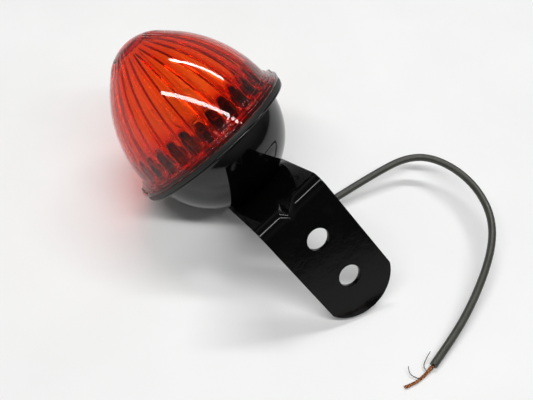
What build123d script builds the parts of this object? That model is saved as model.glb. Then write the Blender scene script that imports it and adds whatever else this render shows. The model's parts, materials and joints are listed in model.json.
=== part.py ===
"""A beehive marker lamp on a strap bracket, lying on its side with its lead trailing.

Each piece is built in the lamp's own frame: the lamp's axis is Z with the lens pointing
along +Z, the lens flange sits on the plane Z = 0, and the bracket reaches out along +X.
The last section lays every piece down as the lamp rests on a table.
"""
import os
from math import acos, asin, atan2, cos, degrees, pi, radians, sin, sqrt, tan

from build123d import *

os.makedirs("parts", exist_ok=True)

# Driving dimensions, in millimetres and degrees.
bowl_radius = 34.6          # the other circles of the bowl, gasket and lens follow it
# lens
flange_radius = bowl_radius + 6.6   # widest circle of the lamp
flange_height = 5.4         # three steps up to the ribbed dome
step_drop = 1.5             # how far each flange step stands inside the one below
lens_wall = 2.2
dome_radius = flange_radius - 3.8   # widest circle of the ribbed dome
dome_curve = 60.6           # radius of the dome's side in section
dome_swell = 3.0            # height of the dome's widest circle
shoulder_height = 54.0      # where the dome meets its crown
shoulder_step = 0.8
crown_rise = 1.8            # the crown's own dome above the shoulder
rib_count = 30
rib_depth = 1.5
rib_width = 1.6
rib_foot_gap = 0.6          # bare dome below each rib
rib_top_gap = 5.0           # bare dome above each rib
skirt_radius = bowl_radius - 3.0    # spigot under the flange that turns in the bowl's mouth
skirt_wall = 1.8
skirt_depth = 5.4
lug_count = 3
lug_arc = 24.0              # degrees of rim held by each lug
lug_reach = 1.1
lug_height = 1.7
rim_pads = 6                # finger pads on the flange's outer step
pad_arc = 5.5
pad_start = 30.0            # direction of the first pad
pad_root = 0.4              # how far each pad runs into the step behind it
# bowl and gasket
gasket_height = 2.6
gasket_radius = bowl_radius + 6.1
gasket_inner = bowl_radius - 1.6
bowl_wall = 0.9
bowl_depth = bowl_radius - 0.6      # from the flange plane to the flat foot
rim_radius = bowl_radius + 5.8
rim_thickness = 1.0
lug_play = 3.0              # degrees of room beside each lug in its gap
lug_room = 0.3              # room past each lug's end in its gap
unlock_turn = 40.0          # degrees from locked to lift-off
# bracket
strap_width = 34.6
strap_thickness = 2.0
strap_back = 16.0           # how far the strap runs behind the lamp's axis
strap_back_radius = 18.8
bend_reach = 57.0           # lamp axis to the bend's outer corner
bend_lean = 15.5            # degrees that the tab leans back in past square
bend_inner_radius = 1.0
bolt_hole_radius = 5.15
bolt_pitch = 25.4
first_bolt = 20.6           # bend's outer corner to the nearer bolt hole
tab_length = 67.6           # bend's outer corner to the end of the tab
tab_end_radius = 18.8
dart_width = 12.0           # pressed stiffening dart across the bend
dart_on_plate = 14.0
dart_on_tab = 5.0
# stud and fasteners
stud_radius = 4.0
stud_bore = 2.3
stud_head_radius = 5.6
stud_head_height = 1.6
stud_chamfer = 0.5
washer_radius = 9.0
washer_thickness = 1.0
washer_round = 0.25
lock_washer_radius = 6.6
lock_washer_thickness = 1.8
lock_washer_gap = 1.6
nut_flats = 12.7
nut_height = 4.5
nut_bevel = 0.4             # corner bevel on the nut's outer face
stud_tail = 1.8             # thread that shows below the nut
bush_lip_radius = 3.5
bush_lip = 1.2
bush_depth = 3.5
bush_round = 0.4
# bulb holder
shell_bore = 7.7
shell_wall = 0.7
shell_bottom = -25.0
shell_top = 1.0
slot_play = 1.0             # degrees of room beside each pin in its slot
cup_wall = 0.8
cup_top = -16.0
cup_shoulder = -26.0
cup_foot_radius = 6.0
cup_foot = 1.0
head_room = 0.2             # room round the stud's head in the cup
skirt_bevel = 0.2           # step where the cup's cone meets its straight wall
insulator_thickness = 2.0
seat_radius = 4.8
seat_thickness = 0.6
seat_tail_radius = 1.0
disc_thickness = 1.4
disc_top = -13.2            # underside of the contact button's head
button_radius = 2.4
button_height = 2.2
button_stem_radius = 0.9
button_round = 0.6
spring_radius = 3.6
spring_wire = 0.35
spring_turns = 5
rivet_radius = 1.1
rivet_head_radius = 2.0
rivet_head = 0.9
rivet_taper = 25.0
rivet_height = -20.0
# bulb
cap_radius = 7.6
cap_wall = 0.5
cap_length = 16.0
contact_radius = 2.6
contact_height = 1.0
contact_round = 0.5
pin_radius = 1.0
pin_reach = 8.4
pin_height = 6.8            # above the bulb's foot contact
glass_radius = 9.5
glass_wall = 0.6
glass_seat = 3.0            # how deep the glass sits in the cap
glass_center = 27.0         # above the bulb's foot contact
filament_height = 21.5      # above the bulb's foot contact
filament_half = 3.5
filament_radius = 0.35
post_radius = 0.25
bead_radius = 1.2
bead_height = 16.5
bead_overhang = 0.8         # bead past each post
push_travel = 2.0
bulb_turn = 20.0
# lead
lead_radius = 1.8
core_radius = 1.45
bundle_radius = 0.6         # bare twisted strands
stray_radius = 0.2
# clearances
turn_fit = 0.05             # radial and end clearance of pieces that turn or slide
bolt_fit = 0.1              # clearance holes over the stud

# Sizes that follow from those above.
gasket_bottom = -gasket_height
rim_bottom = gasket_bottom - rim_thickness
foot_inner = -bowl_depth + bowl_wall
strap_top = -bowl_depth
strap_bottom = strap_top - strap_thickness
washer_bottom = strap_bottom - washer_thickness
lock_bottom = washer_bottom - lock_washer_thickness
nut_bottom = lock_bottom - nut_height
stud_bottom = nut_bottom - stud_tail
bush_bottom = stud_bottom - bush_lip
shell_radius = shell_bore + shell_wall
seat_bottom = shell_bottom + insulator_thickness
seat_top = seat_bottom + seat_thickness
disc_bottom = disc_top - disc_thickness
bulb_foot = disc_top + button_height
cap_bottom = bulb_foot + contact_height
cap_top = cap_bottom + cap_length
pin_level = bulb_foot + pin_height
bolt_levels = (first_bolt, first_bolt + bolt_pitch)
dome_center = dome_radius - dome_curve


def dome_point(curve, height):
    """The dome section's point at a height, for a section arc of the given radius."""
    return (dome_center + sqrt(curve ** 2 - (height - dome_swell) ** 2), height)


def ball_point(radius, angle):
    """A point on a circle about the origin, at an angle below the X axis, in section."""
    return (radius * cos(radians(angle)), -radius * sin(radians(angle)))


def ring(outer, bore, bottom, height):
    """Add a plain ring, or a disc where the bore is 0, to the piece being built."""
    with BuildSketch(Plane.XY.offset(bottom)) as outline:
        Circle(outer)
        if bore > 0:
            Circle(bore, mode=Mode.SUBTRACT)
    extrude(outline.sketch, amount=height)


def pie_slice(reach, first, last):
    """A flat pie slice about the origin between two angles in degrees."""
    angles = [radians(angle) for angle in (first, (first + last) / 2, last)]
    rim = [(reach * cos(angle), reach * sin(angle)) for angle in angles]
    with BuildSketch() as piece:
        with BuildLine():
            Line((0, 0), rim[0])
            ThreePointArc(*rim)
            Line(rim[2], (0, 0))
        make_face()
    return piece.sketch


# One internal rib of the lens, running up inside the dome.
inner_curve = dome_curve - lens_wall
rib_bottom = flange_height + rib_foot_gap
rib_top = shoulder_height - rib_top_gap
rib_middle = (rib_bottom + rib_top) / 2
root_curve = inner_curve + lens_wall / 3
with BuildPart() as rib:
    with BuildSketch(Plane.XZ):
        with BuildLine():
            Line(dome_point(inner_curve - rib_depth, rib_bottom), dome_point(root_curve, rib_bottom))
            ThreePointArc(
                dome_point(root_curve, rib_bottom),
                dome_point(root_curve, rib_middle),
                dome_point(root_curve, rib_top),
            )
            Line(dome_point(root_curve, rib_top), dome_point(inner_curve - rib_depth, rib_top))
            ThreePointArc(
                dome_point(inner_curve - rib_depth, rib_top),
                dome_point(inner_curve - rib_depth, rib_middle),
                dome_point(inner_curve - rib_depth, rib_bottom),
            )
        make_face()
    extrude(amount=rib_width / 2, both=True)

# Lens: stepped flange, ribbed dome, crown, and a spigot with three lugs below.
step_height = flange_height / 3
crown_top = shoulder_height + shoulder_step + crown_rise
shoulder_radius = dome_point(dome_curve, shoulder_height)[0]
crown_curve = (shoulder_radius ** 2 + crown_rise ** 2) / (2 * crown_rise)
crown_half = asin(shoulder_radius / crown_curve) / 2
inner_top = shoulder_height - lens_wall
dome_middle = (flange_height + shoulder_height) / 2
lug_space = pie_slice(flange_radius, lug_arc / 2, 360 / lug_count - lug_arc / 2)
rim_pad = pie_slice(flange_radius, -pad_arc / 2, pad_arc / 2)
with BuildPart() as lens:
    with BuildSketch(Plane.XZ):
        with BuildLine():
            Polyline(
                (skirt_radius - skirt_wall, -skirt_depth),
                (skirt_radius, -skirt_depth),
                (skirt_radius, 0),
                (flange_radius, 0),
                (flange_radius, step_height),
                (flange_radius - step_drop, step_height),
                (flange_radius - step_drop, 2 * step_height),
                (flange_radius - 2 * step_drop, 2 * step_height),
                (flange_radius - 2 * step_drop, flange_height),
                dome_point(dome_curve, flange_height),
            )
            ThreePointArc(
                dome_point(dome_curve, flange_height),
                dome_point(dome_curve, dome_middle),
                dome_point(dome_curve, shoulder_height),
            )
            Line((shoulder_radius, shoulder_height), (shoulder_radius, shoulder_height + shoulder_step))
            ThreePointArc(
                (shoulder_radius, shoulder_height + shoulder_step),
                (crown_curve * sin(crown_half), crown_top - crown_curve * (1 - cos(crown_half))),
                (0, crown_top),
            )
            Line((0, crown_top), (0, inner_top))
            Line((0, inner_top), dome_point(inner_curve, inner_top))
            ThreePointArc(
                dome_point(inner_curve, inner_top),
                dome_point(inner_curve, dome_middle),
                dome_point(inner_curve, step_height),
            )
            Polyline(
                dome_point(inner_curve, step_height),
                (skirt_radius - skirt_wall, step_height),
                (skirt_radius - skirt_wall, -skirt_depth),
            )
        make_face()
    revolve(axis=Axis.Z)
    with PolarLocations(0, rib_count):
        add(rib.part)
    with BuildSketch(Plane.XY.offset(-skirt_depth)):
        Circle(skirt_radius + lug_reach)
        Circle(skirt_radius - skirt_wall / 2, mode=Mode.SUBTRACT)
        with PolarLocations(0, lug_count):
            add(lug_space, mode=Mode.SUBTRACT)
    extrude(amount=lug_height)
    with BuildSketch(Plane.XY.offset(step_height / 2)):
        with PolarLocations(0, rim_pads, start_angle=pad_start):
            add(rim_pad)
        Circle(flange_radius - step_drop - pad_root, mode=Mode.SUBTRACT)
    extrude(amount=1.5 * step_height)

# Gasket under the flange.
with BuildPart() as lens_gasket:
    ring(gasket_radius, gasket_inner, gasket_bottom, gasket_height - turn_fit)

# Bowl: a pressed half ball with a flat foot, a turned-out rim and a hole for the stud.
ball_start = degrees(asin(-rim_bottom / bowl_radius))
ball_end = degrees(asin(bowl_depth / bowl_radius))
foot_radius = bowl_radius * cos(radians(ball_end))
mouth_radius = bowl_radius * cos(radians(ball_start))
with BuildPart() as bowl:
    with BuildSketch(Plane.XZ):
        with BuildLine():
            Line((0, gasket_bottom), (mouth_radius, gasket_bottom))
            Line((mouth_radius, gasket_bottom), (mouth_radius, rim_bottom))
            ThreePointArc(
                ball_point(bowl_radius, ball_start),
                ball_point(bowl_radius, (ball_start + ball_end) / 2),
                ball_point(bowl_radius, ball_end),
            )
            Line((foot_radius, -bowl_depth), (0, -bowl_depth))
            Line((0, -bowl_depth), (0, gasket_bottom))
        make_face()
    revolve(axis=Axis.Z)
    offset(amount=-bowl_wall, openings=bowl.faces().sort_by(Axis.Z)[-1])
    ring(rim_radius, mouth_radius - bowl_wall / 2, rim_bottom, rim_thickness)
    with Locations((0, 0, -bowl_depth)):
        Cylinder(stud_radius + bolt_fit, bowl_wall * 3, mode=Mode.SUBTRACT)

# Twist ring in the bowl's mouth: the lens's lugs drop through its gaps and turn under it.
half_gap = lug_arc / 2 + lug_play
ring_gap = pie_slice(skirt_radius + lug_reach + lug_room, -half_gap, half_gap)
with BuildPart() as twist_ring:
    with BuildSketch(Plane.XY.offset(rim_bottom)):
        Circle(mouth_radius - bowl_wall)
        Circle(skirt_radius + turn_fit, mode=Mode.SUBTRACT)
        with PolarLocations(0, lug_count, start_angle=unlock_turn):
            add(ring_gap, mode=Mode.SUBTRACT)
    extrude(amount=rim_thickness)

# Bracket: one strap under the foot, bent down past square, with a pressed dart in the bend.
lean = radians(bend_lean)
tab_run = (-sin(lean), -cos(lean))          # down the tab, in the XZ section
tab_in = (-cos(lean), sin(lean))            # from the tab's outer face through its thickness
corner = (bend_reach, strap_top)
corner_run = strap_thickness * (1 + sin(lean)) / cos(lean)
inner_corner = (bend_reach - corner_run, strap_bottom)
end_drop = tab_end_radius - sqrt(tab_end_radius ** 2 - (strap_width / 2) ** 2)
back_drop = strap_back_radius - sqrt(strap_back_radius ** 2 - (strap_width / 2) ** 2)


def on_tab(distance, inward=0.0):
    """A section point at a distance down the tab's outer face and inward from it."""
    return (
        corner[0] + distance * tab_run[0] + inward * tab_in[0],
        corner[1] + distance * tab_run[1] + inward * tab_in[1],
    )


def dart_wedge(inward_x=0.0, inward_z=0.0):
    """The four-cornered block that the dart presses in across the bend's corner."""
    plate_tip = (corner[0] - dart_on_plate, corner[1])
    tab_tip = on_tab(dart_on_tab)
    tips = [
        Vector(plate_tip[0] - inward_x, 0, plate_tip[1] - inward_z),
        Vector(tab_tip[0] - inward_x, 0, tab_tip[1] - inward_z),
        Vector(corner[0] - inward_x, dart_width / 2, corner[1] - inward_z),
        Vector(corner[0] - inward_x, -dart_width / 2, corner[1] - inward_z),
    ]
    sides = [
        Face(Wire.make_polygon([tip for tip in tips if tip is not left_out]))
        for left_out in tips
    ]
    return Solid(Shell(sides))


tab_face = Plane(
    origin=(corner[0], 0, corner[1]),
    x_dir=(0, -1, 0),
    z_dir=(-tab_in[0], 0, -tab_in[1]),
)
inner_dart = dart_wedge(corner_run, strap_thickness)
outer_dart = dart_wedge()
with BuildPart() as bracket:
    with BuildSketch(Plane.XZ):
        with BuildLine():
            Polyline(
                (-strap_back, strap_top),
                corner,
                on_tab(tab_length),
                on_tab(tab_length, strap_thickness),
                inner_corner,
                (-strap_back, strap_bottom),
                close=True,
            )
        make_face()
    extrude(amount=strap_width / 2, both=True)
    outer_edge = bracket.edges().filter_by(Axis.Y).sort_by_distance((corner[0], 0, corner[1]))[0]
    fillet(outer_edge, bend_inner_radius + strap_thickness)
    inner_edge = bracket.edges().filter_by(Axis.Y).sort_by_distance(
        (inner_corner[0], 0, inner_corner[1])
    )[0]
    fillet(inner_edge, bend_inner_radius)
    add(inner_dart)
    add(outer_dart, mode=Mode.SUBTRACT)
    with BuildSketch(Plane.XY.offset(strap_bottom)):
        with Locations((-strap_back, 0)):
            Rectangle(2 * back_drop, strap_width * 1.1)
        with Locations((strap_back_radius - strap_back, 0)):
            Circle(strap_back_radius, mode=Mode.SUBTRACT)
    extrude(amount=strap_thickness, mode=Mode.SUBTRACT)
    with Locations((0, 0, strap_bottom)):
        Cylinder(stud_radius + bolt_fit, strap_thickness * 3, mode=Mode.SUBTRACT)
    with BuildSketch(tab_face):
        with Locations((0, tab_length)):
            Rectangle(strap_width * 1.1, 2 * end_drop)
        with Locations((0, tab_length - tab_end_radius)):
            Circle(tab_end_radius, mode=Mode.SUBTRACT)
    extrude(amount=-strap_thickness, mode=Mode.SUBTRACT)
    with BuildSketch(tab_face):
        with Locations(*[(0, level) for level in bolt_levels]):
            Circle(bolt_hole_radius)
    extrude(amount=-strap_thickness, mode=Mode.SUBTRACT)

# Flat washer, split lock washer and nut under the strap.
with BuildPart() as flat_washer:
    ring(washer_radius, stud_radius + bolt_fit, washer_bottom, washer_thickness)
    fillet(flat_washer.edges().filter_by(GeomType.CIRCLE).group_by(SortBy.RADIUS)[-1], washer_round)

with BuildPart() as lock_washer:
    ring(lock_washer_radius, stud_radius + bolt_fit, lock_bottom, lock_washer_thickness)
    with Locations((-lock_washer_radius, 0, lock_bottom)):
        Box(
            lock_washer_radius * 2,
            lock_washer_gap,
            lock_washer_thickness,
            align=(Align.CENTER, Align.CENTER, Align.MIN),
            mode=Mode.SUBTRACT,
        )

with BuildPart() as stud_nut:
    with BuildSketch(Plane.XY.offset(nut_bottom)):
        RegularPolygon(nut_flats / 2, 6, major_radius=False)
        Circle(stud_radius, mode=Mode.SUBTRACT)
    extrude(amount=nut_height)
    with BuildSketch(Plane.XZ):
        with Locations((nut_flats / sqrt(3), nut_bottom)):
            Rectangle(6 * nut_bevel, 2 * nut_bevel, rotation=30)
    revolve(axis=Axis.Z, mode=Mode.SUBTRACT)

# Hollow stud that clamps holder, bowl and bracket, and lets the lead through.
with BuildPart() as hollow_stud:
    stud_seat = foot_inner + cup_foot
    ring(stud_head_radius, stud_bore, stud_seat, stud_head_height)
    ring(stud_radius, stud_bore, stud_bottom, stud_seat - stud_bottom)
    end_edges = hollow_stud.edges().filter_by(GeomType.CIRCLE).group_by(Axis.Z)[0]
    chamfer(end_edges.sort_by(SortBy.RADIUS)[-1], stud_chamfer)

# Rubber bush in the stud's end, where the lead comes out.
with BuildPart() as stud_bush:
    ring(bush_lip_radius, 0, bush_bottom, bush_lip)
    ring(stud_bore, 0, stud_bottom, bush_depth)
    fillet(stud_bush.edges().filter_by(GeomType.CIRCLE).group_by(Axis.Z)[0], bush_round)

# Cup that carries the bulb holder's shell on the bowl's foot.
with BuildPart() as socket_cup:
    with BuildSketch(Plane.XZ):
        with BuildLine():
            Polyline(
                (stud_radius + bolt_fit, foot_inner),
                (cup_foot_radius, foot_inner),
                (shell_radius + cup_wall, cup_shoulder),
                (shell_radius + cup_wall, cup_top),
                (shell_radius, cup_top),
                (shell_radius, cup_shoulder + skirt_bevel),
                (stud_head_radius + head_room, stud_seat),
                (stud_radius + bolt_fit, stud_seat),
                close=True,
            )
        make_face()
    revolve(axis=Axis.Z)
    with Locations((0, 0, rivet_height)):
        Cylinder(rivet_radius, shell_radius * 4, rotation=(0, 90, 0), mode=Mode.SUBTRACT)

# Plated shell with two bayonet slots; the slots are open from the lock to the entry.
slot_reach = shell_radius + shell_wall
pin_half = degrees(asin((pin_radius + turn_fit) / shell_bore)) + slot_play
slot_bottom = pin_level - push_travel - pin_radius - turn_fit
slot_top = pin_level + pin_radius + turn_fit
lock_slot = pie_slice(slot_reach, 90 - pin_half, 90 + bulb_turn + pin_half)
entry_slot = pie_slice(slot_reach, 90 + bulb_turn - pin_half, 90 + bulb_turn + pin_half)
with BuildPart() as socket_shell:
    ring(shell_radius, shell_bore, shell_bottom, shell_top - shell_bottom)
    for slot, height in ((lock_slot, slot_top - slot_bottom), (entry_slot, shell_top - slot_bottom)):
        with BuildSketch(Plane.XY.offset(slot_bottom)):
            with PolarLocations(0, 2):
                add(slot)
        extrude(amount=height, mode=Mode.SUBTRACT)
    with Locations((0, 0, rivet_height)):
        Cylinder(rivet_radius, shell_radius * 4, rotation=(0, 90, 0), mode=Mode.SUBTRACT)

# Two rivets through the cup and the shell.
with BuildPart() as socket_rivets:
    for side in (-1, 1):
        wall_start = Plane(origin=(side * shell_bore, 0, rivet_height), z_dir=(side, 0, 0))
        with BuildSketch(wall_start):
            Circle(rivet_radius)
        extrude(amount=shell_wall + cup_wall)
        with BuildSketch(wall_start.offset(shell_wall + cup_wall)):
            Circle(rivet_head_radius)
        extrude(amount=rivet_head, taper=rivet_taper)

# Fibre insulator that closes the shell's foot.
with BuildPart() as socket_insulator:
    ring(shell_bore, seat_tail_radius, shell_bottom, insulator_thickness)

# Brass seat under the spring, with its tail through the insulator.
with BuildPart() as contact_seat:
    ring(seat_radius, 0, seat_bottom, seat_thickness)
    ring(seat_tail_radius, 0, shell_bottom, insulator_thickness)

# Spring that pushes the contact up.
spring_space = disc_bottom - seat_top
with BuildPart() as contact_spring:
    with BuildLine(Plane.XY.offset(seat_top + spring_wire)):
        coil = Helix(
            pitch=(spring_space - 2 * spring_wire) / spring_turns,
            height=spring_space - 2 * spring_wire,
            radius=spring_radius,
        )
    with BuildSketch(Plane(origin=coil @ 0, z_dir=coil % 0)):
        Circle(spring_wire)
    sweep(is_frenet=True)

# Fibre disc that slides in the shell and carries the contact button.
with BuildPart() as contact_disc:
    ring(shell_bore - turn_fit, button_stem_radius, disc_bottom, disc_thickness)

with BuildPart() as contact_button:
    ring(button_radius, 0, disc_top, button_height)
    ring(button_stem_radius, 0, disc_bottom, disc_thickness)
    fillet(contact_button.edges().filter_by(GeomType.CIRCLE).group_by(Axis.Z)[-1], button_round)

# Bulb: brass cap with two pins, solder contact, glass, filament, posts and bead.
with BuildPart() as bulb_cap:
    ring(cap_radius, 0, cap_bottom, cap_length)
    with BuildSketch(Plane.XY.offset(cap_bottom + cap_wall * 2)):
        Circle(cap_radius - cap_wall)
    extrude(amount=cap_length, mode=Mode.SUBTRACT)
    for side in (-1, 1):
        pin_root = Plane(origin=(0, side * (cap_radius - cap_wall / 2), pin_level), z_dir=(0, side, 0))
        with BuildSketch(pin_root):
            Circle(pin_radius)
        extrude(amount=pin_reach - cap_radius + cap_wall / 2)
    with Locations(*[(x, 0, cap_bottom) for x in (-filament_half, filament_half)]):
        Cylinder(post_radius, cap_wall * 6, mode=Mode.SUBTRACT)

with BuildPart() as bulb_contact:
    ring(contact_radius, 0, bulb_foot, contact_height)
    fillet(bulb_contact.edges().filter_by(GeomType.CIRCLE).group_by(Axis.Z)[0], contact_round)

neck_radius = cap_radius - cap_wall
ball_level = bulb_foot + glass_center
glass_bottom = cap_top - glass_seat
neck_angle = asin(neck_radius / glass_radius)
with BuildPart() as bulb_glass:
    with BuildSketch(Plane.XZ):
        with BuildLine():
            join = ball_level - glass_radius * cos(neck_angle)
            Line((neck_radius, glass_bottom), (neck_radius, join))
            ThreePointArc((neck_radius, join), (glass_radius, ball_level), (0, ball_level + glass_radius))
            Line((0, ball_level + glass_radius), (0, ball_level + glass_radius - glass_wall))
            inner_radius = glass_radius - glass_wall
            inner_neck = neck_radius - glass_wall
            inner_join = ball_level - sqrt(inner_radius ** 2 - inner_neck ** 2)
            ThreePointArc(
                (0, ball_level + inner_radius),
                (inner_radius, ball_level),
                (inner_neck, inner_join),
            )
            Line((inner_neck, inner_join), (inner_neck, glass_bottom))
            Line((inner_neck, glass_bottom), (neck_radius, glass_bottom))
        make_face()
    revolve(axis=Axis.Z)

filament_level = bulb_foot + filament_height
with BuildPart() as filament_posts:
    for x in (-filament_half, filament_half):
        with BuildSketch(Plane.XY.offset(cap_bottom)):
            with Locations((x, 0)):
                Circle(post_radius)
        extrude(amount=filament_level - cap_bottom)

with BuildPart() as filament_bead:
    with BuildSketch(Plane.YZ.offset(-filament_half - bead_overhang)):
        with Locations((0, bulb_foot + bead_height)):
            Circle(bead_radius)
    extrude(amount=2 * (filament_half + bead_overhang))
    with Locations(*[(x, 0, bulb_foot + bead_height) for x in (-filament_half, filament_half)]):
        Cylinder(post_radius, bead_radius * 3, mode=Mode.SUBTRACT)

with BuildPart() as bulb_filament:
    with BuildSketch(Plane.YZ.offset(-filament_half - post_radius)):
        with Locations((0, filament_level + filament_radius)):
            Circle(filament_radius)
    extrude(amount=2 * (filament_half + post_radius))

# Lead inside the lamp, from the bush up to the holder.
with BuildPart() as inner_lead:
    ring(core_radius, 0, stud_bottom + bush_depth, shell_bottom - stud_bottom - bush_depth)

# Resting pose: the rim's edge, the bowl and the tab's round end touch the table.
# The lamp's axis rises by axis_rise, and tab_roll turns the bracket about that axis.
edge_angle = atan2(-rim_bottom, rim_radius)
axis_rise = edge_angle + acos(bowl_radius / sqrt(rim_radius ** 2 + rim_bottom ** 2))
end_center = on_tab(tab_length - tab_end_radius, strap_thickness)


def table_normal(roll):
    """The table's upward normal in the lamp's frame, for a roll about the lamp's axis."""
    return (cos(axis_rise) * cos(roll), cos(axis_rise) * sin(roll), sin(axis_rise))


def tab_clearance(roll):
    """Height of the tab's round end above the plane that the bowl rests on."""
    normal = table_normal(roll)
    across = sqrt((normal[0] * tab_run[0] + normal[2] * tab_run[1]) ** 2 + normal[1] ** 2)
    center_height = normal[0] * end_center[0] + normal[2] * end_center[1]
    return center_height - tab_end_radius * across + bowl_radius


low_roll, high_roll = 0.0, radians(85)
for step in range(60):
    tab_roll = (low_roll + high_roll) / 2
    if tab_clearance(tab_roll) > 0:
        low_roll = tab_roll
    else:
        high_roll = tab_roll
table_up = Vector(*table_normal(tab_roll))
lamp_axis = Vector(0, 0, 1)
table = Plane(origin=(0, 0, 0), x_dir=table_up * sin(axis_rise) - lamp_axis, z_dir=table_up)

lamp_pieces = {
    "lens": lens,
    "lens_gasket": lens_gasket,
    "bowl": bowl,
    "twist_ring": twist_ring,
    "bracket": bracket,
    "flat_washer": flat_washer,
    "lock_washer": lock_washer,
    "stud_nut": stud_nut,
    "hollow_stud": hollow_stud,
    "stud_bush": stud_bush,
    "socket_cup": socket_cup,
    "socket_shell": socket_shell,
    "socket_rivets": socket_rivets,
    "socket_insulator": socket_insulator,
    "contact_seat": contact_seat,
    "contact_spring": contact_spring,
    "contact_disc": contact_disc,
    "contact_button": contact_button,
    "bulb_cap": bulb_cap,
    "bulb_contact": bulb_contact,
    "bulb_glass": bulb_glass,
    "filament_posts": filament_posts,
    "filament_bead": filament_bead,
    "bulb_filament": bulb_filament,
    "inner_lead": inner_lead,
}
laid = [table.to_local_coords(piece.part) for piece in lamp_pieces.values()]
span = Compound(children=laid).bounding_box()
home = Location((-span.center().X, -span.center().Y, -span.min.Z))


def on_table(point):
    """A point of the lamp's own frame, in the frame of the finished part."""
    return home.position + table.to_local_coords(Vector(*point))


for label, piece in lamp_pieces.items():
    piece.part = table.to_local_coords(piece.part).moved(home)
    piece.part.label = label
    export_step(piece.part, f"parts/{label}.step")


def corner_radii(points):
    """The radius of each corner of a route: 0.45 of the shorter run, by the turn's tangent."""
    runs = [after - before for before, after in zip(points, points[1:])]
    radii = []
    for before, after in zip(runs, runs[1:]):
        half_turn = radians(before.get_angle(after)) / 2
        radii.append(0.45 * min(before.length, after.length) / tan(half_turn))
    return radii


def report_tube(piece, path, radius, points):
    """Print a tube's corner radii, its length, and its volume beside section times length."""
    print(piece.part.label, "corner radii", [round(value, 1) for value in corner_radii(points)])
    print("  length", round(path.length, 2), "volume", round(piece.part.volume, 2), end=" ")
    print("section times length", round(pi * radius ** 2 * path.length, 2))


# Lead outside the lamp, in the finished part's frame: out of the bush, along the table,
# round in one springy loop and down onto its bare end.
bush_end = on_table((0, 0, bush_bottom))
lead_way = on_table((0, 0, bush_bottom - 1)) - bush_end
lead_points = [
    bush_end,
    bush_end + lead_way * 4.6,
    Vector(21.0, 3.0, 2.6),
    Vector(27.3, 9.5, 2.9),
    Vector(34.0, 24.5, 5.2),
    Vector(44.2, 45.4, 9.0),
    Vector(51.3, 57.2, 11.4),
    Vector(60.8, 63.7, 12.9),
    Vector(74.5, 63.9, 13.9),
    Vector(88.0, 58.9, 14.3),
    Vector(99.2, 49.9, 14.0),
    Vector(106.3, 38.6, 13.0),
    Vector(110.3, 24.2, 11.0),
    Vector(112.3, 6.5, 7.4),
    Vector(112.4, -12.5, 4.0),
    Vector(110.2, -31.0, 1.9),
]
with BuildPart() as lead:
    with BuildLine():
        lead_path = FilletPolyline(*lead_points, radius=corner_radii(lead_points))
    with BuildSketch(Plane(origin=lead_path @ 0, z_dir=lead_path % 0)):
        Circle(lead_radius)
    sweep()
lead.part.label = "lead"
report_tube(lead, lead_path, lead_radius, lead_points)
export_step(lead.part, "parts/lead.step")

# The bare strands at the lead's end, twisted into one bundle.
bundle_points = [
    lead_points[-1],
    Vector(109.5, -34.4, 1.4),
    Vector(108.4, -38.6, 0.9),
    Vector(106.6, -42.8, 0.75),
    Vector(103.9, -46.6, 0.7),
]
with BuildPart() as strand_bundle:
    with BuildLine():
        bundle_path = FilletPolyline(*bundle_points, radius=corner_radii(bundle_points))
    with BuildSketch(Plane(origin=bundle_path @ 0, z_dir=bundle_path % 0)):
        Circle(bundle_radius)
    sweep()
strand_bundle.part.label = "strand_bundle"
report_tube(strand_bundle, bundle_path, bundle_radius, bundle_points)
export_step(strand_bundle.part, "parts/strand_bundle.step")

# Two strands that have sprung loose from the bundle.
stray_routes = [
    [
        Vector(109.2, -34.8, 1.3),
        Vector(107.0, -34.2, 1.3),
        Vector(106.1, -31.2, 1.8),
        Vector(106.3, -26.2, 2.8),
    ],
    [
        Vector(108.1, -39.2, 0.9),
        Vector(105.0, -40.2, 1.0),
        Vector(102.4, -39.4, 1.6),
        Vector(101.2, -37.4, 2.3),
    ],
]
with BuildPart() as stray_strands:
    for points in stray_routes:
        with BuildLine() as stray_line:
            stray_path = FilletPolyline(*points, radius=corner_radii(points))
        with BuildSketch(Plane(origin=stray_path @ 0, z_dir=stray_path % 0)) as stray_section:
            Circle(stray_radius)
        sweep(stray_section.sketch, path=stray_line.line)
stray_strands.part.label = "stray_strands"
export_step(stray_strands.part, "parts/stray_strands.step")

# Places that a user of the part needs: bolt holes, and the axes of what moves.
hole_centers = [
    on_table((on_tab(level, strap_thickness / 2)[0], 0, on_tab(level, strap_thickness / 2)[1]))
    for level in bolt_levels
]
tab_tip = on_table((corner[0], 0, corner[1]))
tab_normal = on_table((corner[0] - tab_in[0], 0, corner[1] - tab_in[1])) - tab_tip
lamp_center = on_table((0, 0, 0))
lens_way = on_table((0, 0, 1)) - lamp_center
spring_foot = on_table((0, 0, seat_top))
for label, place in (
    ("near bolt hole", hole_centers[0]),
    ("far bolt hole", hole_centers[1]),
    ("bolt hole axis", tab_normal),
    ("lamp centre", lamp_center),
    ("lamp axis", lens_way),
    ("spring foot", spring_foot),
):
    print(label, [round(value, 5) for value in place])
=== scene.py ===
import json
import math
import bpy
import numpy as np
from mathutils import Matrix, Vector


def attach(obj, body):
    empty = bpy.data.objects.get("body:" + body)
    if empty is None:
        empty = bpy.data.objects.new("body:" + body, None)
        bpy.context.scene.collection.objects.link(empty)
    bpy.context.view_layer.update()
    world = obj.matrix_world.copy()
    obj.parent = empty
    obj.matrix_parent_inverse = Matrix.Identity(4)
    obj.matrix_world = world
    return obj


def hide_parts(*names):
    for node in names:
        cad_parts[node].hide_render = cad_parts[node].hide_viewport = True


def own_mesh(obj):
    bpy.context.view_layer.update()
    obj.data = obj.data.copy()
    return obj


# Beehive marker lamp on a strap bracket, lying on a pale table with its lead trailing.
# Sizes in the dictionaries are millimetres and degrees in the lamp's own frame: Z along the
# lamp's axis towards the lens, X the way the bracket reaches, Z = 0 under the lens's flange.

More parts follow.
